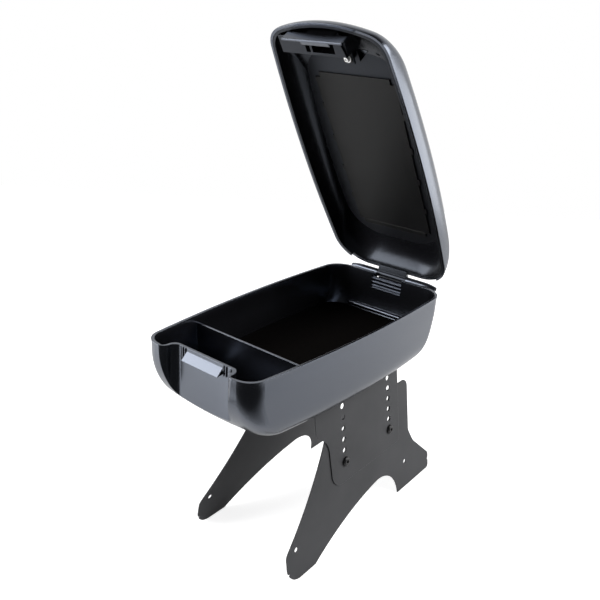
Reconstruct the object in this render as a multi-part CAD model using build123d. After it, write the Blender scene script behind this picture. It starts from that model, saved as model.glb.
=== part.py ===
"""Car centre armrest: a storage box with a hinged lid on a height-adjustable steel foot.

Millimetres. X is to the right, Y to the rear, Z up, with the floor at Z = 0.
The lid is modelled closed and then swung open about its hinge.
"""
import os
from math import cos, radians, sin, sqrt, tan

from build123d import *

# Overall layout
box_length = 320.0
rim_height = 261.0
hole_shift = 16.1
rear_reach = 182.9

# Box tub
box_mid_half = 80.0
box_front_half = 67.5
box_rear_half = 76.0
box_widest_shift = 44.5
box_front_corner = 20.0
nose_bow = 6.0
box_rear_corner = 25.0
hull_depth = 80.0
box_wall = 2.6
wall_draft = 0.03
hull_fullness = 2.0
bilge_start = 52.0
bilge_reach = 24.0
bow_start = 14.0
bow_reach = 70.0
stern_start = 26.0
stern_reach = 40.0

# Finger recess and catch at the front of the box
recess_depth = 14.0
recess_mouth_half = 47.0
recess_panel_half = 31.0
catch_half = 23.0
catch_top = 3.5
catch_height = 10.5
catch_reach = 7.0
catch_sheet = 1.8
catch_root = 0.3
guide_rib_width = 1.2
guide_rib_pitch = 3.0

# Inside of the box
divider_back = 73.0
divider_wall = 2.2
divider_drop = 8.0
mat_drop = 49.0
mat_thick = 2.5
mat_edge_gap = 0.6
mat_rib_half = 40.0
mat_rib_wall = 2.4
bead_half = 48.0
bead_radius = 3.0
bead_stand = 0.6

# Lid
lid_angle = 57.0
lid_front_overhang = 3.0
lid_nose_bow = 14.0
lid_front_corner = 24.0
lid_rear_corner = 40.0
lid_corner_growth = 12.0
lid_rear_overhang = 6.5
lid_side_inset = 1.6
lid_gap = 0.5
lid_height = 41.0
cover_wall = 2.4
tray_gap = 0.3
tray_wall = 2.2
tray_depth = 26.0
side_crown = 0.8
side_fullness = 3.0
front_crown = 125.0
rear_crown = 95.0
end_fullness = 2.0

# Lid liner panel
liner_half = 48.0
liner_front_back = 71.0
liner_rear_ahead = 51.0
liner_seam_ahead = 6.0
liner_seam_width = 1.2
liner_thick = 1.4
liner_notch = 6.0
liner_clip_count = 4
liner_clip_length = 7.0
liner_clip_reach = 2.2

# Lid hinge
hinge_back = 10.5
hinge_drop = 3.2
hinge_pin_radius = 2.0
hinge_barrel_radius = 4.6
hinge_fit = 0.02
hinge_running = 0.06
barrel_inner = 20.2
barrel_outer = 59.5
knuckle_gap = 0.5
hinge_clear = 2.6
barrel_taper = 16.0
barrel_tip_radius = 2.6
stop_leaf_length = 13.0
stop_leaf_thick = 2.4
rear_notch_depth = 5.0
rear_pocket_depth = 1.0
rear_rib_count = 3
rear_rib_pitch = 4.6
rear_rib_width = 1.4
web_drop = 17.2

# Latch in the lid
lever_half = 16.0
lever_thick = 2.0
lever_catch_gap = 1.7
lever_hook_gap = 0.5
paddle_left = 37.0
paddle_right = 31.0
paddle_drop = 2.5
lever_hub_radius = 2.7
lever_arm_thick = 2.0
latch_pivot_up = 7.0
latch_pivot_back = 9.7
latch_pin_radius = 1.5
latch_pin_half = 18.5
hook_bite = 2.2
hook_thick = 2.2
housing_left = 54.0
housing_right = 21.0
housing_slant = 5.0
housing_front_back = 15.5
housing_length = 18.0
housing_wall = 2.0
window_left = 24.0
window_right = 9.0
window_front = 5.0
window_rear = 2.5
cheek_wall = 2.6
cheek_gap = 0.6
cheek_lead = 0.2
latch_tab_edge = 2.0
spring_side = 0.4
spring_back = 0.5
spring_tip_gap = 1.2
spring_half = 5.0
spring_thick = 0.8
spring_room = 3.0
latch_screw_x = 6.5
latch_screw_back = 46.5
latch_tab_depth = 20.0
latch_boss_radius = 4.6
pocket_x = 21.0
pocket_width = 16.0
pocket_front_back = 35.0
pocket_length = 20.0
slot_x = 36.0
slot_back = 44.0
slot_length = 5.0
slot_width = 2.4

# Steel bracket
sheet = 1.2
splay = 9.1
yoke_half = 41.8
yoke_lead = 47.6
yoke_trail = 21.4
yoke_bottom_z = 70.0
yoke_bend = 4.0
shoulder_drop = 38.0
neck_drop = 54.0
neck_back = 20.0
flange_foot_back = 24.0
shoulder_round = 10.0
neck_round = 24.0
flange_front_round = 18.0
flange_rear_round = 6.0
hole_spacing = 90.5
hole_pitch = 13.1
hole_count = 6
hole_radius = 3.4
hole_lowest_z = 94.1
leg_top_z = 143.0
leg_lead = 27.0
leg_trail = 44.9
leg_corner = 10.0
rear_waist_z = 74.0
rear_waist_round = 12.0
rear_knee_back = 37.0
rear_knee_z = 55.0
rear_knee_round = 30.0
rear_toe_z = 21.0
rear_toe_round = 7.0
rear_heel_round = 5.0
rear_foot_length = 76.5
arch_top_back = 62.4
arch_top_z = 39.0
arch_rear_sag = 12.0
arch_front_sag = 5.8
front_foot_length = 45.5
front_reach = 107.1
front_toe_z = 34.0
front_toe_round = 20.0
front_tip_round = 10.0
instep_back = 7.0
instep_rise = 7.0
instep_sag = 5.5
toe_notch_z = 12.0
toe_notch_radius = 1.8
foot_hole_z = 35.0
foot_hole_inset = 16.0
foot_hole_spacing = 216.0
foot_hole_radius = 2.75

# Fasteners
bolt_radius = 2.95
bolt_head_radius = 5.5
bolt_head_height = 3.2
nut_flats = 10.0
nut_height = 5.0
washer_radius = 6.5
washer_thick = 1.4
fastener_fit = 0.05
socket_flats = 4.0
socket_depth = 1.8
bottom_bolt_x = 26.0
bottom_bolt_inset = 12.0
small_screw_radius = 1.5
small_head_radius = 3.0
small_head_height = 1.9
small_washer_radius = 4.2
small_washer_thick = 0.8

# Values worked out from the sizes above
overall_length = box_length / 2 + hole_shift + rear_reach
mouth_y = -overall_length / 2
front_y = mouth_y - nose_bow * (recess_mouth_half / box_front_half) ** 2
rear_y = mouth_y + box_length
toe_y = overall_length / 2
box_middle_y = mouth_y + box_length / 2
box_widest_y = box_middle_y + box_widest_shift
divider_y = mouth_y + divider_back
rim_z = rim_height
hull_z = rim_z - hull_depth
panel_y = mouth_y + recess_depth
hinge_y = rear_y + hinge_back
hinge_z = rim_z - hinge_drop
lid_front_y = front_y - lid_front_overhang
lid_rear_y = rear_y + lid_rear_overhang
lid_z = rim_z + lid_gap
liner_front_y = lid_front_y + liner_front_back
liner_rear_y = lid_rear_y - liner_rear_ahead
yoke_z = hull_z
yoke_slope = tan(radians(splay))
hinge_axis = Axis((0, hinge_y, hinge_z), (1, 0, 0))
catch_tip_y = panel_y - catch_reach
catch_tip_z = rim_z - catch_height
lever_y = catch_tip_y - lever_catch_gap - lever_thick
pivot_y = lever_y + latch_pivot_back
pivot_z = lid_z + latch_pivot_up
housing_y = lid_front_y + housing_front_back + housing_length / 2
hole_front_y = box_middle_y + hole_shift
hole_rear_y = hole_front_y + hole_spacing
hole_columns = (hole_front_y, hole_rear_y)
yoke_front_y = hole_front_y - yoke_lead
yoke_rear_y = hole_rear_y + yoke_trail
leg_rear_y = hole_rear_y + leg_trail
front_toe_y = hole_front_y - front_reach
hole_heights = [hole_lowest_z + hole_pitch * row for row in range(hole_count)]
sides = (-1, 1)


def ease(depth, start, full, fullness):
    """Share of the inset along a rounded quarter: 0 at the start depth and 1 at the full depth."""
    if depth <= start:
        return 0.0
    part = min(1.0, (depth - start) / (full - start))
    return 1 - (1 - part**fullness) ** (1 / fullness)


def slab(x_low, x_high, y_low, y_high, z_low, z_high):
    """Block between two corners."""
    block = Box(x_high - x_low, y_high - y_low, z_high - z_low)
    return Pos((x_low + x_high) / 2, (y_low + y_high) / 2, (z_low + z_high) / 2) * block


def rod(radius, start, end):
    """Round bar between two points."""
    line = Vector(*end) - Vector(*start)
    return extrude(Plane(origin=start, z_dir=line.normalized()) * Circle(radius), line.length)


def bar_x(face, x_low, x_high):
    """Profile drawn as (y, z), swept along X."""
    return extrude(Plane(origin=(x_low, 0, 0), x_dir=(0, 1, 0), z_dir=(1, 0, 0)) * face, x_high - x_low)


def plan(front, rear, half_front, half_mid, half_rear, bow, corner_front, corner_rear):
    """Bowed outline of the box and the lid, seen from above, with rounded corners."""
    front_corner = front + bow * half_front / box_front_half
    right = ThreePointArc((half_front, front_corner), (half_mid, box_widest_y), (half_rear, rear))
    back = Line((half_rear, rear), (-half_rear, rear))
    left = ThreePointArc((-half_rear, rear), (-half_mid, box_widest_y), (-half_front, front_corner))
    nose = ThreePointArc((-half_front, front_corner), (0, front), (half_front, front_corner))
    face = make_face([right, back, left, nose])
    face = fillet(face.vertices().group_by(Axis.Y)[0], min(corner_front, 0.6 * half_front))
    return fillet(face.vertices().group_by(Axis.Y)[-1], min(corner_rear, 0.7 * half_rear))


def hull(inset):
    """Boat-shaped body of the tub, shrunk all round by an inset."""
    deepest = hull_depth - inset
    sections = []
    for share in (0, 0.15, 0.375, 0.6, 0.76, 0.88, 0.96, 1):
        depth = deepest * share
        edge = inset + wall_draft * depth
        side = edge + bilge_reach * ease(depth, bilge_start, deepest, hull_fullness)
        bow = edge + bow_reach * ease(depth, bow_start, deepest, hull_fullness)
        stern = edge + stern_reach * ease(depth, stern_start, deepest, hull_fullness)
        face = plan(
            front_y + bow,
            rear_y - stern,
            box_front_half - side,
            box_mid_half - side,
            box_rear_half - side,
            nose_bow,
            box_front_corner - inset / 2,
            box_rear_corner - inset / 2,
        )
        sections.append(Pos(0, 0, rim_z - depth) * face)
    return loft(sections) & slab(
        -overall_length, overall_length, -overall_length, overall_length, rim_z - deepest, rim_z,
    )


def recess_face(grow):
    """Plan of the finger recess: a flat panel with an S-curve to each front corner."""
    mouth = recess_mouth_half + grow
    panel = recess_panel_half + grow
    back = panel_y + grow
    middle_x = (mouth + panel) / 2
    middle_y = (mouth_y + back) / 2
    out_y = front_y - recess_depth
    right_low = TangentArc((mouth, mouth_y), (middle_x, middle_y), tangent=(-1, 0))
    right_high = TangentArc((middle_x, middle_y), (panel, back), tangent=right_low % 1)
    base = Line((panel, back), (-panel, back))
    left_high = TangentArc((-panel, back), (-middle_x, middle_y), tangent=(-1, 0))
    left_low = TangentArc((-middle_x, middle_y), (-mouth, mouth_y), tangent=left_high % 1)
    outside = Polyline((-mouth, mouth_y), (-mouth, out_y), (mouth, out_y), (mouth, mouth_y))
    return make_face([right_low, right_high, base, left_high, left_low, outside])


def recess(grow):
    """Prism of the finger recess through the whole height of the hull."""
    return extrude(Pos(0, 0, hull_z - 1) * recess_face(grow), hull_depth + 2)


def catch():
    """Hollow ramp that the latch hook snaps under, with a pair of guide ribs at each end."""
    root = panel_y + catch_root
    top_z = rim_z - catch_top
    under_z = top_z - catch_sheet * (catch_height - catch_top) / catch_reach
    ramp = Polyline(
        (root, top_z),
        (panel_y, top_z),
        (catch_tip_y, catch_tip_z),
        (catch_tip_y + catch_sheet, catch_tip_z),
        (panel_y, under_z),
        (root, under_z),
        close=True,
    )
    solid = bar_x(make_face(ramp), -catch_half, catch_half)
    for side in sides:
        for step in (1, 2):
            x = side * (catch_half + step * guide_rib_pitch - guide_rib_pitch / 2)
            half = guide_rib_width / 2
            solid += slab(x - half, x + half, panel_y - guide_rib_width, root, catch_tip_z, rim_z)
    return solid


def barrel(side):
    """Hinge barrel of one side, tapered to its outer end."""
    taper_x = barrel_outer - barrel_taper
    flank = TangentArc((taper_x, hinge_barrel_radius), (barrel_outer, barrel_tip_radius), tangent=(1, 0))
    ends = Polyline(
        (barrel_outer, barrel_tip_radius), (barrel_outer, 0), (barrel_inner, 0),
        (barrel_inner, hinge_barrel_radius), (taper_x, hinge_barrel_radius),
    )
    half = Plane(origin=(0, hinge_y, hinge_z), x_dir=(1, 0, 0), z_dir=(0, -1, 0))
    solid = revolve(half * make_face([flank, ends]), hinge_axis)
    return solid if side > 0 else mirror(solid, about=Plane.YZ)


def hinge_barrels():
    """Two barrels behind the rear wall, each on a tapered web, bored for the pin."""
    solid = Part()
    web_root = rear_y - box_wall / 2
    web = Polyline(
        (web_root, rim_z - web_drop),
        (hinge_y, hinge_z - hinge_barrel_radius / 2),
        (hinge_y, hinge_z),
        (web_root, rim_z - hinge_drop / 2),
        close=True,
    )
    for side in sides:
        low, high = sorted((side * barrel_inner, side * (barrel_outer - barrel_taper)))
        solid += barrel(side)
        solid += bar_x(make_face(web), low, high)
    bore = hinge_pin_radius + hinge_fit
    return solid - rod(bore, (-box_mid_half, hinge_y, hinge_z), (box_mid_half, hinge_y, hinge_z))


def rear_notch(tub):
    """Notch for the lid's knuckle in the rear wall, with a ribbed pocket below it."""
    half = barrel_inner + knuckle_gap
    wall_y = rear_y - box_wall
    notch_z = rim_z - rear_notch_depth
    pocket_z = notch_z - rear_rib_count * rear_rib_pitch
    tub -= slab(-half, half, rear_y - stern_reach / 4, rear_y + 1, notch_z, rim_z + 1)
    tub -= slab(-half, half, wall_y - box_wall, wall_y + rear_pocket_depth, pocket_z, notch_z)
    for row in range(rear_rib_count):
        z = notch_z - (row + 0.5) * rear_rib_pitch
        reach = rear_rib_width / 2
        tub += slab(-half, half, wall_y - reach, wall_y + box_wall / 2, z - reach, z + reach)
    return tub


def rear_bead():
    """Rounded bead on the rear wall that holds down the edge of the floor board."""
    z = rim_z - mat_drop + mat_edge_gap + bead_radius
    depth = rim_z - z
    stern = stern_reach * ease(depth, stern_start, hull_depth, hull_fullness)
    y = rear_y - box_wall - wall_draft * depth - stern - bead_stand
    return rod(bead_radius, (-bead_half, y, z), (bead_half, y, z))


def box_tub():
    """Moulded tub with its divider, recess, catch, mat ribs, hinge barrels and bolt holes."""
    cavity = hull(box_wall) - recess(box_wall)
    ribs = Part()
    mat_bottom = rim_z - mat_drop - mat_thick
    for side in sides:
        x = side * mat_rib_half
        half = mat_rib_wall / 2
        ribs += slab(x - half, x + half, divider_y, rear_y, hull_z, mat_bottom)
    divider = slab(
        -box_mid_half, box_mid_half,
        divider_y - divider_wall / 2, divider_y + divider_wall / 2,
        hull_z, rim_z - divider_drop,
    )
    tub = hull(0) - recess(0) - (cavity - ribs - divider)
    tub += catch()
    tub += rear_bead()
    tub = rear_notch(tub)
    tub += hinge_barrels()
    for x, y in bottom_bolts():
        tub -= rod(hole_radius, (x, y, hull_z - 1), (x, y, hull_z + box_wall + 1))
    return tub


def floor_mat():
    """Felt-faced board that rests on the ribs of the rear compartment and hides the bolts."""
    top = rim_z - mat_drop
    low_y = divider_y + divider_wall / 2 + mat_edge_gap
    block = slab(-box_mid_half, box_mid_half, low_y, rear_y, top - mat_thick, top)
    return block & hull(box_wall + mat_edge_gap)


def dome(inset):
    """Crowned body of the lid when closed, shrunk all round by an inset."""
    top = lid_height - inset
    sections = []
    edge = lid_side_inset + inset
    for share in (0, 0.2, 0.42, 0.62, 0.78, 0.9, 0.96, 0.99, 1):
        height = top * share
        narrow = 1 - side_crown * ease(height, 0, top, side_fullness)
        front = inset + front_crown * ease(height, 0, top, end_fullness)
        rear = inset + rear_crown * ease(height, 0, top, end_fullness)
        face = plan(
            lid_front_y + front,
            lid_rear_y - rear,
            (box_front_half - edge) * narrow,
            (box_mid_half - edge) * narrow,
            (box_rear_half - edge) * narrow,
            lid_nose_bow,
            lid_front_corner + lid_corner_growth * share - inset / 2,
            lid_rear_corner + lid_corner_growth * share - inset / 2,
        )
        sections.append(Pos(0, 0, lid_z + height) * face)
    return loft(sections)


def hinge_clearance():
    """Space that the lid leaves above each barrel."""
    room = Part()
    for side in sides:
        low, high = sorted((side * barrel_inner, side * (barrel_outer + knuckle_gap)))
        low -= knuckle_gap
        high += knuckle_gap
        room += slab(low, high, rear_y - lid_rear_overhang, hinge_y, lid_z - 1, lid_z + hinge_clear)
    return room


def lid_cover():
    """Outer shell of the lid, cut away at the rear for the barrels and the hinge tongue."""
    half = barrel_outer + 2 * knuckle_gap
    gate = slab(-half, half, rear_y - lid_rear_overhang, hinge_y, lid_z - 1, lid_z + hinge_clear)
    return dome(0) - dome(cover_wall) - gate


def tray_inside():
    """Hollow of the lid tray."""
    ceiling = slab(-box_mid_half, box_mid_half, lid_front_y, lid_rear_y, lid_z, lid_z + tray_depth)
    return dome(cover_wall + tray_gap + tray_wall) & ceiling


def lid_tray():
    """Inner shell of the lid, with the hinge tongue and its knuckle at the rear."""
    top = lid_z + tray_depth + tray_wall
    block = slab(-box_mid_half, box_mid_half, lid_front_y, lid_rear_y, lid_z, top)
    tray = (dome(cover_wall + tray_gap) & block) - tray_inside() - hinge_clearance()
    inner_y = lid_rear_y - cover_wall - tray_gap - tray_wall
    tongue = Polyline(
        (inner_y - 1, lid_z + hinge_clear),
        (inner_y - 1, lid_z + 1),
        (hinge_y - hinge_barrel_radius, hinge_z),
        (hinge_y, hinge_z + hinge_barrel_radius),
        (inner_y + tray_wall / 2, lid_z + hinge_clear),
        close=True,
    )
    half = barrel_inner - knuckle_gap
    tray += bar_x(make_face(tongue), -half, half)
    tray += rod(hinge_barrel_radius, (-half, hinge_y, hinge_z), (half, hinge_y, hinge_z))
    leaf = slab(-half, half, hinge_y, hinge_y + stop_leaf_length, hinge_z, hinge_z + stop_leaf_thick)
    tray += leaf.rotate(hinge_axis, lid_angle - 90)
    bore = hinge_pin_radius + hinge_running
    tray -= rod(bore, (-box_mid_half, hinge_y, hinge_z), (box_mid_half, hinge_y, hinge_z))
    x, y, z = latch_screw_spot()
    tray += rod(latch_boss_radius, (x, y, lid_z + latch_tab_depth), (x, y, top))
    tray -= rod(small_screw_radius + fastener_fit, (x, y, z), (x, y, top + 1))
    return tray - ceiling_cuts()


def ceiling_cuts():
    """Triangular pocket and short slot beside the latch, through the ceiling of the tray."""
    y = lid_front_y + pocket_front_back
    triangle = make_face(Polyline(
        (pocket_x - pocket_width / 2, y), (pocket_x + pocket_width / 2, y + pocket_length / 5),
        (pocket_x - pocket_width / 2, y + pocket_length),
        close=True,
    ))
    low = lid_z + tray_depth - 1
    pocket = extrude(Pos(0, 0, low) * triangle, tray_wall + 2)
    slot = Rot(0, 0, 45) * SlotOverall(slot_length, slot_width)
    return pocket + extrude(Pos(slot_x, lid_front_y + slot_back, low) * slot, tray_wall + 2)


def lid_liner():
    """Flat panel under the ceiling of the tray, with notched corners and edge clips."""
    top = lid_z + tray_depth
    low = top - liner_thick
    panel = slab(-liner_half, liner_half, liner_front_y, liner_rear_y, low, top)
    for x in (-liner_half, liner_half):
        for y in (liner_front_y, liner_rear_y):
            panel -= Pos(x, y, low) * Box(liner_notch * 2, liner_notch * 2, liner_thick * 4)
    pitch = (liner_rear_y - liner_front_y) / (liner_clip_count + 1)
    for index in range(liner_clip_count):
        y = liner_front_y + pitch * (index + 1)
        for side in sides:
            x_low, x_high = sorted((side * (liner_half - 1), side * (liner_half + liner_clip_reach)))
            panel += slab(x_low, x_high, y - liner_clip_length / 2, y + liner_clip_length / 2, low, top)
    seam_y = liner_rear_y - liner_seam_ahead
    seam = slab(-liner_half, liner_half, seam_y - liner_seam_width, seam_y, low - 1, low + liner_thick / 3)
    return panel - seam


def latch_housing():
    """Latch carrier at the front of the tray: a shelf with end walls and two cheeks for the pin."""
    low_y = housing_y - housing_length / 2
    high_y = housing_y + housing_length / 2
    top = lid_z + tray_depth
    tab_z = lid_z + latch_tab_depth
    shelf_z = lid_z + housing_wall
    body = slab(-housing_left, housing_right, low_y, high_y, lid_z, top)
    hollow = slab(
        -housing_left + housing_wall, housing_right - housing_wall,
        low_y - 1, high_y - housing_wall, shelf_z, top,
    )
    slant = make_face(Polyline(
        (housing_right - housing_slant, low_y - 1), (housing_right + 1, low_y - 1), (housing_right + 1, high_y),
        (housing_right, high_y),
        close=True,
    ))
    window = slab(
        -window_left, window_right,
        low_y + window_front, high_y - window_rear, lid_z - 1, shelf_z + 1,
    )
    carrier = body - hollow - window
    cheek_low = pivot_y - lever_hub_radius - cheek_lead
    cheek_x = lever_half + cheek_gap
    for side in sides:
        x_low, x_high = sorted((side * cheek_x, side * (cheek_x + cheek_wall)))
        carrier += slab(x_low, x_high, cheek_low, high_y - housing_wall / 2, lid_z, top)
    tab_half = small_washer_radius + latch_tab_edge
    tab_y = lid_front_y + latch_screw_back
    carrier += slab(
        latch_screw_x - tab_half, latch_screw_x + tab_half,
        high_y - housing_wall / 2, tab_y + tab_half,
        tab_z - housing_wall, tab_z,
    )
    bore = latch_pin_radius + hinge_fit
    carrier -= rod(bore, (-latch_pin_half, pivot_y, pivot_z), (latch_pin_half, pivot_y, pivot_z))
    carrier -= rod(
        small_screw_radius + fastener_fit,
        (latch_screw_x, tab_y, tab_z - housing_wall - 1),
        (latch_screw_x, tab_y, tab_z + 1),
    )
    carrier -= slab(
        latch_screw_x - spring_half - spring_side, latch_screw_x + spring_half + spring_side,
        high_y - housing_wall - spring_back, high_y + spring_back,
        tab_z - housing_wall - spring_thick - spring_room, tab_z - housing_wall,
    )
    carrier -= extrude(Pos(0, 0, lid_z - 1) * slant, housing_wall + 1)
    return carrier & dome(cover_wall + tray_gap + tray_wall + tray_gap)


def latch_lever():
    """Latch lever: an arm from the pivot to a wide paddle with a hook at its foot."""
    hook_z = catch_tip_z - lever_hook_gap
    foot_z = hook_z - hook_thick
    back_y = lever_y + lever_thick
    tip_y = catch_tip_y + hook_bite
    arm_z = lid_z + lever_arm_thick
    profile = Polyline(
        (lever_y, arm_z + lever_arm_thick),
        (lever_y, foot_z),
        (back_y, foot_z),
        (tip_y, hook_z - hook_thick / 3),
        (tip_y, hook_z),
        (back_y, hook_z),
        (back_y, arm_z),
        (pivot_y, pivot_z - lever_hub_radius),
        (pivot_y, pivot_z),
        (back_y, arm_z + lever_arm_thick),
        close=True,
    )
    lever = bar_x(make_face(profile), -lever_half, lever_half)
    lever += slab(-paddle_left, paddle_right, lever_y, back_y, foot_z, lid_z - paddle_drop)
    lever += rod(lever_hub_radius, (-lever_half, pivot_y, pivot_z), (lever_half, pivot_y, pivot_z))
    bore = latch_pin_radius + hinge_running
    return lever - rod(bore, (-lever_half - 1, pivot_y, pivot_z), (lever_half + 1, pivot_y, pivot_z))


def latch_pin():
    """Steel pin of the latch lever."""
    return rod(latch_pin_radius, (-latch_pin_half, pivot_y, pivot_z), (latch_pin_half, pivot_y, pivot_z))


def latch_spring():
    """Leaf spring under the latch screw that presses on the lever's arm."""
    top = lid_z + latch_tab_depth - housing_wall
    tail_y = lid_front_y + latch_screw_back + small_washer_radius
    knee_y = housing_y + housing_length / 2 - housing_wall * 2
    shoulder_y = pivot_y - lever_hub_radius
    shoulder_z = pivot_z + lever_hub_radius + spring_thick * 2
    tip_y = lever_y + lever_thick
    tip_z = lid_z + 2 * lever_arm_thick + spring_tip_gap
    leaf = Polyline(
        (tail_y, top),
        (knee_y, top),
        (shoulder_y, shoulder_z),
        (tip_y, tip_z),
        (tip_y + spring_thick, tip_z),
        (shoulder_y + spring_thick, shoulder_z - spring_thick),
        (knee_y, top - spring_thick),
        (tail_y, top - spring_thick),
        close=True,
    )
    strip = bar_x(make_face(leaf), latch_screw_x - spring_half, latch_screw_x + spring_half)
    y = lid_front_y + latch_screw_back
    bore = small_screw_radius + fastener_fit
    return strip - rod(bore, (latch_screw_x, y, top - 2), (latch_screw_x, y, top + 2))


def latch_screw_spot():
    """Underside of the leaf spring at the latch screw."""
    z = lid_z + latch_tab_depth - housing_wall - spring_thick
    return latch_screw_x, lid_front_y + latch_screw_back, z


def latch_washer():
    """Washer under the head of the latch screw."""
    x, y, z = latch_screw_spot()
    ring = rod(small_washer_radius, (x, y, z - small_washer_thick), (x, y, z))
    return ring - rod(small_screw_radius + fastener_fit, (x, y, z - 2), (x, y, z + 1))


def latch_screw():
    """Cross-recess screw that holds the latch carrier and the leaf spring to the tray."""
    x, y, z = latch_screw_spot()
    seat = z - small_washer_thick
    ceiling = lid_z + tray_depth
    head = rod(small_head_radius, (x, y, seat - small_head_height), (x, y, seat))
    head = fillet(head.edges().group_by(Axis.Z)[0], small_head_height * 0.6)
    cross = Part()
    for angle in (0, 90):
        cross += Pos(x, y, seat - small_head_height) * Rot(0, 0, angle) * Box(0.8, small_head_radius, 1.6)
    return head - cross + rod(small_screw_radius, (x, y, seat), (x, y, ceiling + tray_wall * 0.8))


def hinge_pin():
    """Steel rod through both barrels and the lid's knuckle."""
    return rod(hinge_pin_radius, (-barrel_outer + 1, hinge_y, hinge_z), (barrel_outer - 1, hinge_y, hinge_z))


def open_lid(solid):
    """Swing a closed lid piece to the open rest position."""
    return solid.rotate(hinge_axis, -lid_angle)


def flank_x(z):
    """Half-width of the bracket's outer face at a height."""
    return yoke_half + (yoke_z - z) * yoke_slope


def flange_face():
    """Side outline of the yoke, drawn as (y, z)."""
    line = FilletPolyline(
        (yoke_front_y, yoke_z + 1),
        (yoke_front_y, yoke_z - shoulder_drop),
        (yoke_front_y + neck_back, yoke_z - neck_drop),
        (yoke_front_y + flange_foot_back, yoke_bottom_z),
        (yoke_rear_y, yoke_bottom_z),
        (yoke_rear_y, yoke_z + 1),
        radius=(shoulder_round, neck_round, flange_front_round, flange_rear_round),
    )
    return make_face([line, Line(line @ 1, line @ 0)])


def bolt_spot(side, y, z, out):
    """Point on the bracket at a side, moved out along the sheet's own normal."""
    normal = Vector(side * cos(radians(splay)), 0, sin(radians(splay)))
    return Vector(side * flank_x(z), y, z) + normal * out


def column_holes(reach):
    """Drills for the two columns of height holes on both sides."""
    drills = Part()
    for side in sides:
        for y in hole_columns:
            for z in hole_heights:
                drills += rod(hole_radius, tuple(bolt_spot(side, y, z, -reach)), tuple(bolt_spot(side, y, z, 2)))
    return drills


def bottom_bolts():
    """Positions of the bolts that join the box to the yoke."""
    rows = (hole_front_y + bottom_bolt_inset, hole_rear_y - bottom_bolt_inset)
    return [(side * bottom_bolt_x, y) for side in sides for y in rows]


def bracket_yoke():
    """Folded steel yoke under the box: a top plate and two splayed flanges."""
    outer = Polyline(
        (-flank_x(0), 0), (-flank_x(yoke_z), yoke_z), (flank_x(yoke_z), yoke_z), (flank_x(0), 0),
        close=True,
    )
    web = sheet / cos(radians(splay))
    top = yoke_z - sheet
    inner = Polyline(
        (-flank_x(-1) + web, -1), (-flank_x(top) + web, top), (flank_x(top) - web, top), (flank_x(-1) - web, -1),
        close=True,
    )
    outer_face = fillet(make_face(outer).vertices().group_by(Axis.Y)[-1], yoke_bend + sheet)
    inner_face = fillet(make_face(inner).vertices().group_by(Axis.Y)[-1], yoke_bend)
    front = Plane(origin=(0, yoke_rear_y, 0), x_dir=(1, 0, 0), z_dir=(0, -1, 0))
    bent = extrude(front * (outer_face - inner_face), yoke_rear_y - yoke_front_y)
    yoke = bent & bar_x(flange_face(), -overall_length, overall_length)
    yoke -= column_holes(sheet * 1.5)
    for x, y in bottom_bolts():
        yoke -= rod(hole_radius, (x, y, yoke_z - sheet - 1), (x, y, yoke_z + 1))
    return yoke


def leg_face():
    """Side outline of a leg plate, drawn as (y, z): two feet with an arch between them."""
    top_front = (hole_front_y - leg_lead, leg_top_z)
    instep = (front_toe_y + instep_back, front_toe_z + instep_rise)
    arch_top = (hole_front_y + arch_top_back, arch_top_z)
    rear_heel_y = toe_y - rear_foot_length
    front_heel_y = front_toe_y + front_foot_length
    rear = FilletPolyline(
        top_front,
        (leg_rear_y, leg_top_z),
        (leg_rear_y, rear_waist_z),
        (toe_y - rear_knee_back, rear_knee_z),
        (toe_y, rear_toe_z),
        (toe_y, 0),
        (rear_heel_y, 0),
        radius=(leg_corner, rear_waist_round, rear_knee_round, rear_toe_round, rear_heel_round),
    )
    arch_rear = SagittaArc((rear_heel_y, 0), arch_top, -arch_rear_sag)
    arch_front = SagittaArc(arch_top, (front_heel_y, 0), -arch_front_sag)
    front = FilletPolyline(
        (front_heel_y, 0),
        (front_toe_y, 0),
        (front_toe_y, front_toe_z),
        instep,
        radius=(front_toe_round, front_tip_round),
    )
    edges = [rear, arch_rear, arch_front, front, SagittaArc(instep, top_front, -instep_sag)]
    return make_face(edges)


def leg_plate(side):
    """Flat steel leg inside one flange, splayed like it, with foot holes and height holes."""
    low_z = -5
    high_z = leg_top_z + 5
    web = sheet / cos(radians(splay))
    skin = Polyline(
        (flank_x(low_z) - web, low_z), (flank_x(high_z) - web, high_z),
        (flank_x(high_z) - 2 * web, high_z), (flank_x(low_z) - 2 * web, low_z),
        close=True,
    )
    front = Plane(origin=(0, overall_length, 0), x_dir=(1, 0, 0), z_dir=(0, -1, 0))
    leg = extrude(front * make_face(skin), overall_length * 2) & bar_x(leg_face(), 0, overall_length)
    foot_hole_front_y = front_toe_y + foot_hole_inset
    for y in (foot_hole_front_y, foot_hole_front_y + foot_hole_spacing):
        start = tuple(bolt_spot(1, y, foot_hole_z, -3 * sheet))
        leg -= rod(foot_hole_radius, start, tuple(bolt_spot(1, y, foot_hole_z, 1)))
    leg -= column_holes(sheet * 2.5)
    dip = front_toe_round - toe_notch_z
    lead_y = front_toe_y + front_toe_round - sqrt(front_toe_round**2 - dip**2)
    for y in (lead_y, toe_y):
        leg -= rod(toe_notch_radius, (0, y, toe_notch_z), (overall_length, y, toe_notch_z))
    return leg if side > 0 else mirror(leg, about=Plane.YZ)


def button_bolt(length):
    """Button-head bolt on +Z, its head's seat at the origin and its shank below."""
    head = rod(bolt_head_radius, (0, 0, 0), (0, 0, bolt_head_height))
    head = fillet(head.edges().group_by(Axis.Z)[-1], bolt_head_height * 0.8)
    socket = extrude(Pos(0, 0, bolt_head_height - socket_depth) * RegularPolygon(socket_flats / 2, 6), socket_depth)
    return head - socket + rod(bolt_radius, (0, 0, -length), (0, 0, 0))


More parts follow.
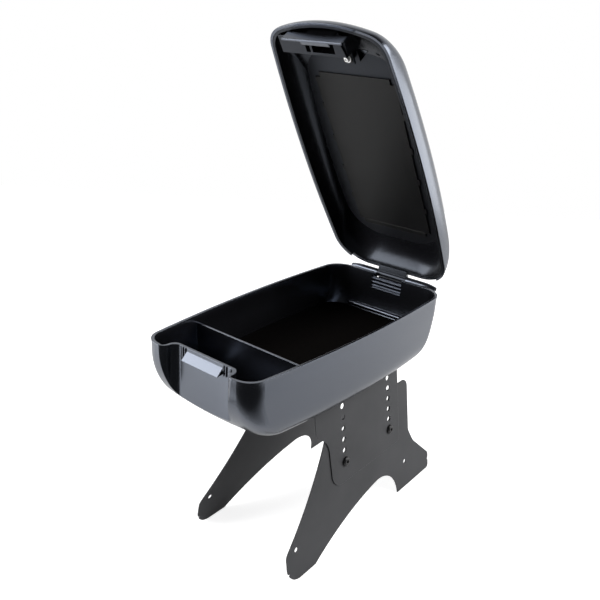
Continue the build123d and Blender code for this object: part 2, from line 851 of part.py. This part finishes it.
def ring(radius, bore, thick):
    """Flat washer on +Z from the origin."""
    return rod(radius, (0, 0, 0), (0, 0, thick)) - rod(bore, (0, 0, -1), (0, 0, thick + 1))


def nut():
    """Hex nut on +Z from the origin."""
    body = extrude(RegularPolygon(nut_flats / 2, 6, major_radius=False), nut_height)
    return body - rod(bolt_radius + fastener_fit, (0, 0, -1), (0, 0, nut_height + 1))


def leg_places(out):
    """Frames on the sheet's normal at the four leg bolts, moved out by a distance."""
    z = hole_heights[0]
    frames = []
    for side in sides:
        normal = Vector(side * cos(radians(splay)), 0, sin(radians(splay)))
        for y in hole_columns:
            frames.append(Plane(origin=bolt_spot(side, y, z, out), z_dir=normal).location)
    return frames


def bottom_places(z):
    """Frames pointing up at the bolts through the box floor."""
    return [Location((x, y, z)) for x, y in bottom_bolts()]


def group(frames, shape):
    """Copies of one fastener as separate solids."""
    return Compound(children=[frame * shape for frame in frames])


def bracket_pieces():
    """Legs, yoke and the bolts that hold them to each other and to the box."""
    leg_stack = 2 * sheet
    bottom_stack = box_wall + sheet
    leg_bolt = button_bolt(leg_stack + washer_thick + nut_height + 2)
    bottom_bolt = button_bolt(washer_thick + bottom_stack + nut_height + 2)
    leg_washer = ring(washer_radius, bolt_radius + fastener_fit, washer_thick)
    inner_seat = hull_z + box_wall
    return {
        "bracket_yoke": bracket_yoke(),
        "leg_plate_left": leg_plate(-1),
        "leg_plate_right": leg_plate(1),
        "leg_bolts": group(leg_places(0), leg_bolt),
        "leg_washers": group(leg_places(-leg_stack - washer_thick), leg_washer),
        "leg_nuts": group(leg_places(-leg_stack - washer_thick - nut_height), nut()),
        "box_bolts": group(bottom_places(inner_seat + washer_thick), bottom_bolt),
        "box_washers": group(bottom_places(inner_seat), leg_washer),
        "box_nuts": group(bottom_places(yoke_z - sheet - nut_height), nut()),
    }


def lid_pieces():
    """Everything that turns with the lid, in the closed position."""
    return {
        "lid_cover": lid_cover(),
        "lid_tray": lid_tray(),
        "lid_liner": lid_liner(),
        "latch_housing": latch_housing(),
        "latch_lever": latch_lever(),
        "latch_pin": latch_pin(),
        "latch_spring": latch_spring(),
        "latch_washer": latch_washer(),
        "latch_screw": latch_screw(),
    }


def main():
    """Write one STEP file for each piece."""
    pieces = {"box_tub": box_tub(), "floor_mat": floor_mat(), "hinge_pin": hinge_pin()}
    pieces.update(bracket_pieces())
    for name, solid in lid_pieces().items():
        pieces[name] = open_lid(solid)
    os.makedirs("parts", exist_ok=True)
    for name, solid in pieces.items():
        export_step(solid, f"parts/{name}.step")


main()
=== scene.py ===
"""Car centre armrest with its lid open, as in the photograph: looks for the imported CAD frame, in metres."""
import math

import bmesh
import bpy
from mathutils import Matrix, Vector


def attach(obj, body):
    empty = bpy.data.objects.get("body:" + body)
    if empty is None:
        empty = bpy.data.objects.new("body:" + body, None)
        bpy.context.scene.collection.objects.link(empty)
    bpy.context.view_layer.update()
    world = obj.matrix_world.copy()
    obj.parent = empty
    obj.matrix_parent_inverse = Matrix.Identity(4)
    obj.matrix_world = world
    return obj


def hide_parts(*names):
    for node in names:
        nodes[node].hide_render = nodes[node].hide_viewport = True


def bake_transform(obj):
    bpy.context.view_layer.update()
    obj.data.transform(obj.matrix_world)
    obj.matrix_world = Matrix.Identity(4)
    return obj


# Camera
camera_place = (0.4069, -0.5584, 0.5463)
camera_yaw = 37.66
camera_tilt = 68.03
camera_roll = 3.50
camera_lens = 42.09

# Studio: a white table that ends in front of the armrest, a bright rear and a dark room behind the camera
floor_tone = 0.96
floor_lift = 0.82
floor_mirror_lift = 0.3
floor_width = 2.4
floor_length = 1.7
floor_front = 0.22
room_dark = 0.05
room_light = 1.0
room_share = 0.5
mirror_rays = ["Is Glossy Ray", "Is Transmission Ray"]
backdrop = Vector((-math.sin(math.radians(camera_yaw)), math.cos(math.radians(camera_yaw)), 0))
backdrop_drop = Vector((0, 0, -0.5))

# Inside of the lid, which faces this way as it stands open
lid_inward = Vector((0, -0.839, -0.545))
tray_wall_roughness = 0.26
tray_ceiling_roughness = 0.5

# Hollow under the catch ramp, in the plane of its ends, and the thickness of the black sheet of painted shade
# that closes each end
hollow_corners = ((-0.1706, 0.2506), (-0.1656, 0.2506), (-0.1656, 0.2555))
hollow_end = 0.0222
shade_sheet_thickness = 0.0008

# Edge rounding that the materials show
plastic_edge = 0.0008
lever_edge = 0.0018
steel_edge = 0.0005

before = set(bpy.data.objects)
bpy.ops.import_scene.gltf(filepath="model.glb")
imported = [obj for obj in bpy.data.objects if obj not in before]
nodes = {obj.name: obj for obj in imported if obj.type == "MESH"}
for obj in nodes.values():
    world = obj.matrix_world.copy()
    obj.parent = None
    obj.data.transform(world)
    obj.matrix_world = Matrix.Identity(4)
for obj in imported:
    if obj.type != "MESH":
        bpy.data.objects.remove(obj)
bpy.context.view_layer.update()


def new_material(name):
    """Empty node material and its Principled shader."""
    material = bpy.data.materials.new(name)
    material.use_nodes = True
    return material, material.node_tree, material.node_tree.nodes["Principled BSDF"]


def add_node(tree, kind, inputs):
    """Shader node with some of its sockets set."""
    node = tree.nodes.new(kind)
    for name, value in inputs.items():
        node.inputs[name].default_value = value
    return node


def noise(tree, scale, detail=3.0):
    """Noise in object space, in cycles per metre."""
    place = tree.nodes.new("ShaderNodeTexCoord")
    texture = add_node(tree, "ShaderNodeTexNoise", {"Scale": scale, "Detail": detail})
    tree.links.new(place.outputs["Object"], texture.inputs["Vector"])
    return texture.outputs["Fac"]


def spread(tree, factor, low, high):
    """Map the middle of a 0 to 1 factor to a range."""
    span = add_node(tree, "ShaderNodeMapRange", {
        "From Min": 0.3, "From Max": 0.7, "To Min": low, "To Max": high,
    })
    tree.links.new(factor, span.inputs["Value"])
    return span.outputs["Result"]


def blend_colour(tree, factor, low, high):
    """Colour that runs from one tone to another."""
    ramp = tree.nodes.new("ShaderNodeValToRGB")
    ramp.color_ramp.elements[0].position = 0.35
    ramp.color_ramp.elements[1].position = 0.65
    ramp.color_ramp.elements[0].color = (*low, 1)
    ramp.color_ramp.elements[1].color = (*high, 1)
    tree.links.new(factor, ramp.inputs["Fac"])
    return ramp.outputs["Color"]


def tint(tree, shader, factor, low, high):
    """Base colour that runs from one tone to another."""
    tree.links.new(blend_colour(tree, factor, low, high), shader.inputs["Base Color"])


def gloss(tree, shader, factor, low, high):
    """Roughness that runs over a range."""
    tree.links.new(spread(tree, factor, low, high), shader.inputs["Roughness"])


def relief(tree, shader, height, distance, edge):
    """Fine bump over edges that look rounded by a radius."""
    bevel = tree.nodes.new("ShaderNodeBevel")
    bevel.samples = 4
    bevel.inputs["Radius"].default_value = edge
    bump = add_node(tree, "ShaderNodeBump", {"Strength": 0.5, "Distance": distance})
    tree.links.new(height, bump.inputs["Height"])
    tree.links.new(bevel.outputs["Normal"], bump.inputs["Normal"])
    tree.links.new(bump.outputs["Normal"], shader.inputs["Normal"])


def pale_edges(tree, paint, edge_tone):
    """Colour that turns paler where the surface bends sharply."""
    bevel = tree.nodes.new("ShaderNodeBevel")
    bevel.samples = 4
    bevel.inputs["Radius"].default_value = steel_edge
    surface = tree.nodes.new("ShaderNodeNewGeometry")
    bend = tree.nodes.new("ShaderNodeVectorMath")
    bend.operation = "DOT_PRODUCT"
    tree.links.new(bevel.outputs["Normal"], bend.inputs[0])
    tree.links.new(surface.outputs["Normal"], bend.inputs[1])
    edge_paleness = add_node(tree, "ShaderNodeMapRange", {
        "From Min": 0.98, "From Max": 0.85, "To Min": 0.0, "To Max": 1.0,
    })
    tree.links.new(bend.outputs["Value"], edge_paleness.inputs["Value"])
    mix = tree.nodes.new("ShaderNodeMixRGB")
    mix.inputs["Color2"].default_value = (*edge_tone, 1)
    tree.links.new(edge_paleness.outputs["Result"], mix.inputs["Fac"])
    tree.links.new(paint, mix.inputs["Color1"])
    return mix.outputs["Color"]


def moulded_plastic(name, edge):
    """Glossy black plastic of the shells and the lever, with a soft mould grain and slight gloss changes."""
    material, tree, shader = new_material(name)
    cloud = noise(tree, 9.0)
    tint(tree, shader, cloud, (0.004, 0.004, 0.005), (0.006, 0.006, 0.007))
    gloss(tree, shader, cloud, 0.20, 0.25)
    shader.inputs["IOR"].default_value = 1.68
    shader.inputs["Specular IOR Level"].default_value = 1.0
    shader.inputs["Specular Tint"].default_value = (0.75, 0.83, 1.0, 1)
    relief(tree, shader, noise(tree, 2400.0, 1.0), 0.00002, edge)
    return material


def tray_plastic():
    """Black plastic of the lid's inside: satin walls and a grained ceiling."""
    material, tree, shader = new_material("tray_plastic")
    cloud = noise(tree, 9.0)
    tint(tree, shader, cloud, (0.004, 0.004, 0.005), (0.006, 0.006, 0.007))
    place = tree.nodes.new("ShaderNodeTexCoord")
    level = tree.nodes.new("ShaderNodeVectorMath")
    level.operation = "DOT_PRODUCT"
    level.inputs[1].default_value = lid_inward
    tree.links.new(place.outputs["Normal"], level.inputs[0])
    grain = add_node(tree, "ShaderNodeMapRange", {
        "From Min": 0.96, "From Max": 0.99, "To Min": tray_wall_roughness, "To Max": tray_ceiling_roughness,
    })
    tree.links.new(level.outputs["Value"], grain.inputs["Value"])
    tree.links.new(grain.outputs["Result"], shader.inputs["Roughness"])
    shader.inputs["Specular Tint"].default_value = (0.76, 0.84, 1.0, 1)
    relief(tree, shader, noise(tree, 1600.0, 1.0), 0.00003, plastic_edge)
    return material


def liner_plastic():
    """Liner panel: matt black sheet with a fine leather-like grain."""
    material, tree, shader = new_material("liner_plastic")
    cloud = noise(tree, 14.0)
    tint(tree, shader, cloud, (0.004, 0.004, 0.0045), (0.007, 0.007, 0.0075))
    gloss(tree, shader, cloud, 0.42, 0.50)
    shader.inputs["Specular IOR Level"].default_value = 0.3
    relief(tree, shader, noise(tree, 1300.0, 2.0), 0.00006, plastic_edge)
    return material


def painted_shade_plastic():
    """Near-black, rough and almost without gloss: painted shade for the dark inside of the catch's hollow."""
    material, tree, shader = new_material("painted_shade_plastic")
    cloud = noise(tree, 500.0)
    tint(tree, shader, cloud, (0.001, 0.001, 0.001), (0.003, 0.003, 0.003))
    gloss(tree, shader, cloud, 0.8, 0.95)
    shader.inputs["Specular IOR Level"].default_value = 0.05
    relief(tree, shader, noise(tree, 1600.0, 1.0), 0.00003, steel_edge)
    return material


def felt():
    """Short dark felt on the floor board."""
    material, tree, shader = new_material("felt")
    fibre = noise(tree, 900.0, 6.0)
    tint(tree, shader, fibre, (0.0022, 0.0018, 0.0017), (0.0062, 0.0050, 0.0045))
    shader.inputs["Roughness"].default_value = 0.95
    shader.inputs["Specular IOR Level"].default_value = 0.05
    relief(tree, shader, fibre, 0.0004, plastic_edge)
    return material


def painted_steel():
    """Satin dark grey paint on sheet steel, with a faint orange peel and paler edges."""
    material, tree, shader = new_material("painted_steel")
    cloud = noise(tree, 16.0)
    paint = blend_colour(tree, cloud, (0.076, 0.077, 0.081), (0.092, 0.093, 0.098))
    # The paint turns to a paler grey along the plates' sharp edges
    tree.links.new(pale_edges(tree, paint, (0.22, 0.22, 0.23)), shader.inputs["Base Color"])
    gloss(tree, shader, cloud, 0.45, 0.55)
    shader.inputs["Specular IOR Level"].default_value = 0.1
    relief(tree, shader, noise(tree, 700.0, 2.0), 0.00005, steel_edge)
    return material


def black_steel(name):
    """Black oxide on the bolts and the spring, with slight gloss changes."""
    material, tree, shader = new_material(name)
    cloud = noise(tree, 300.0)
    tint(tree, shader, cloud, (0.010, 0.010, 0.011), (0.022, 0.022, 0.023))
    gloss(tree, shader, cloud, 0.30, 0.42)
    shader.inputs["Metallic"].default_value = 0.3
    relief(tree, shader, noise(tree, 1500.0, 2.0), 0.00003, steel_edge)
    return material


def zinc_steel():
    """Zinc-plated steel of the pins and small screws."""
    material, tree, shader = new_material("zinc_steel")
    cloud = noise(tree, 400.0)
    tint(tree, shader, cloud, (0.70, 0.70, 0.69), (0.82, 0.82, 0.81))
    gloss(tree, shader, cloud, 0.22, 0.34)
    shader.inputs["Metallic"].default_value = 1.0
    relief(tree, shader, noise(tree, 1800.0, 2.0), 0.00003, steel_edge)
    return material


def dress(material, names):
    """Give CAD nodes a material."""
    for name in names:
        slots = nodes[name].data.materials
        slots.clear()
        slots.append(material)


def add_catch_shade_sheets():
    """Thin black sheet across each end of the hollow under the catch ramp: painted shade in place of the dark
    inside of the hollow.
    """
    mesh = bmesh.new()
    for side in (-1, 1):
        outline = [mesh.verts.new((side * hollow_end, y, z)) for y, z in hollow_corners]
        face = mesh.faces.new(outline)
        deep = bmesh.ops.extrude_face_region(mesh, geom=[face])["geom"]
        points = [item for item in deep if isinstance(item, bmesh.types.BMVert)]
        bmesh.ops.translate(mesh, verts=points, vec=(-side * shade_sheet_thickness, 0, 0))
    bmesh.ops.recalc_face_normals(mesh, faces=mesh.faces)
    data = bpy.data.meshes.new("catch_shade_sheets")
    mesh.to_mesh(data)
    mesh.free()
    sheets = bpy.data.objects.new("catch_shade_sheets", data)
    bpy.context.collection.objects.link(sheets)
    # Painted shade: matt black where the hollow is only dark from shadow
    data.materials.append(painted_shade_plastic())
    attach(sheets, "base")


def add_bending_spring():
    """Leaf spring remeshed into short facets, which takes the place of its CAD node."""
    mesh = bmesh.new()
    mesh.from_mesh(nodes["latch_spring"].data)
    bmesh.ops.remove_doubles(mesh, verts=mesh.verts, dist=0.000001)
    bmesh.ops.subdivide_edges(mesh, edges=mesh.edges, cuts=4, use_grid_fill=True)
    data = bpy.data.meshes.new("bending_spring")
    mesh.to_mesh(data)
    mesh.free()
    spring = bpy.data.objects.new("bending_spring", data)
    bpy.context.collection.objects.link(spring)
    data.materials.append(black_steel("spring_steel"))
    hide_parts("latch_spring")
    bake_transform(spring)


def any_ray(tree, names):
    """1 for rays of the named kinds, and 0 for the others."""
    path = tree.nodes.new("ShaderNodeLightPath")
    total = path.outputs[names[0]]
    for name in names[1:]:
        either = tree.nodes.new("ShaderNodeMath")
        either.operation = "MAXIMUM"
        tree.links.new(total, either.inputs[0])
        tree.links.new(path.outputs[name], either.inputs[1])
        total = either.outputs[0]
    return total


def floor_material():
    """Plain white floor that keeps the object's shadow."""
    material, tree, shader = new_material("studio_floor")
    shader.inputs["Base Color"].default_value = (floor_tone, floor_tone, floor_tone, 1)
    shader.inputs["Roughness"].default_value = 0.9
    shader.inputs["Specular IOR Level"].default_value = 0.0
    shader.inputs["Emission Color"].default_value = (1, 1, 1, 1)
    lift = tree.nodes.new("ShaderNodeMath")
    lift.operation = "ADD"
    for socket, rays, level in ((0, ["Is Camera Ray"], floor_lift), (1, mirror_rays, floor_mirror_lift)):
        share = add_node(tree, "ShaderNodeMapRange", {"To Min": 0.0, "To Max": level})
        tree.links.new(any_ray(tree, rays), share.inputs["Value"])
        tree.links.new(share.outputs["Result"], lift.inputs[socket])
    tree.links.new(lift.outputs[0], shader.inputs["Emission Strength"])
    return material


def add_floor():
    """White table top under the feet, square to the camera."""
    bpy.ops.mesh.primitive_plane_add(size=1)
    floor = bpy.context.object
    floor.name = "studio_floor"
    floor.scale = (floor_width, floor_length, 1)
    floor.rotation_euler = (0, 0, math.radians(camera_yaw))
    floor.location = backdrop * (floor_length / 2 - floor_front)
    floor.data.materials.append(floor_material())


def add_softbox(name, place, aim, size, glow):
    """Rectangular soft light that points at a spot, with a given brightness."""
    light = bpy.data.lights.new(name, "AREA")
    light.shape = "RECTANGLE"
    light.size, light.size_y = size
    light.energy = glow * math.pi * size[0] * size[1]
    box = bpy.data.objects.new(name, light)
    bpy.context.collection.objects.link(box)
    box.location = place
    way = Vector(aim) - Vector(place)
    box.rotation_euler = way.to_track_quat("-Z", "Y").to_euler()


def add_world():
    """White backdrop that darkens towards the room behind the camera. The camera itself sees plain white."""
    world = bpy.data.worlds.new("studio")
    bpy.context.scene.world = world
    world.use_nodes = True
    tree = world.node_tree
    background = tree.nodes["Background"]
    background.inputs["Color"].default_value = (1, 1, 1, 1)
    place = tree.nodes.new("ShaderNodeTexCoord")
    facing = tree.nodes.new("ShaderNodeVectorMath")
    facing.operation = "DOT_PRODUCT"
    facing.inputs[1].default_value = (backdrop + backdrop_drop).normalized()
    tree.links.new(place.outputs["Generated"], facing.inputs[0])
    room = add_node(tree, "ShaderNodeMapRange", {
        "From Min": -0.15, "From Max": 0.3, "To Min": room_dark, "To Max": room_light,
    })
    tree.links.new(facing.outputs["Value"], room.inputs["Value"])
    level = add_node(tree, "ShaderNodeMapRange", {"To Min": room_share, "To Max": 1.0})
    tree.links.new(any_ray(tree, mirror_rays), level.inputs["Value"])
    seen = tree.nodes.new("ShaderNodeMath")
    seen.operation = "MULTIPLY"
    tree.links.new(room.outputs["Result"], seen.inputs[0])
    tree.links.new(level.outputs["Result"], seen.inputs[1])
    strength = tree.nodes.new("ShaderNodeMath")
    strength.operation = "MAXIMUM"
    tree.links.new(seen.outputs[0], strength.inputs[0])
    tree.links.new(any_ray(tree, ["Is Camera Ray"]), strength.inputs[1])
    tree.links.new(strength.outputs[0], background.inputs["Strength"])


def add_camera():
    """Camera from the fitted view of the photograph."""
    data = bpy.data.cameras.new("camera")
    data.lens = camera_lens
    data.sensor_width = 36
    data.dof.use_dof = False
    camera = bpy.data.objects.new("camera", data)
    bpy.context.collection.objects.link(camera)
    turn = Matrix.Rotation(math.radians(camera_yaw), 4, "Z")
    turn @= Matrix.Rotation(math.radians(camera_tilt), 4, "X")
    turn @= Matrix.Rotation(math.radians(camera_roll), 4, "Z")
    camera.matrix_world = Matrix.Translation(camera_place) @ turn
    bpy.context.scene.camera = camera


dress(moulded_plastic("shell_plastic", plastic_edge), ["box_tub", "lid_cover"])
dress(moulded_plastic("lever_plastic", lever_edge), ["latch_lever"])
dress(tray_plastic(), ["lid_tray", "latch_housing"])
dress(liner_plastic(), ["lid_liner"])
dress(felt(), ["floor_mat"])
dress(painted_steel(), ["bracket_yoke", "leg_plate_left", "leg_plate_right"])
dress(black_steel("black_steel"), ["leg_bolts", "leg_washers", "leg_nuts", "latch_spring"])
dress(zinc_steel(), [
    "hinge_pin", "latch_pin", "latch_washer", "latch_screw", "box_bolts", "box_washers", "box_nuts",
])
# Black sheets of painted shade across the ends of the catch's hollow
add_catch_shade_sheets()
add_bending_spring()
add_floor()
add_softbox("left", (-0.8, -0.75, 0.62), (0, 0, 0.3), (0.8, 1.0), 5.8)
add_softbox("low_left", (-0.8, -1.05, -0.28), (0, -0.17, 0.2), (0.5, 0.75), 2.2)
add_softbox("right", (1.0, 0.6, 0.9), (0.2, 0.2, 0.1), (0.9, 0.9), 5.0)
add_softbox("rear_right", (1.1, 1.5, 0.3), (0, 0, 0.3), (1.2, 0.7), 2.4)
add_world()
add_camera()
bpy.context.scene.view_settings.view_transform = "Standard"
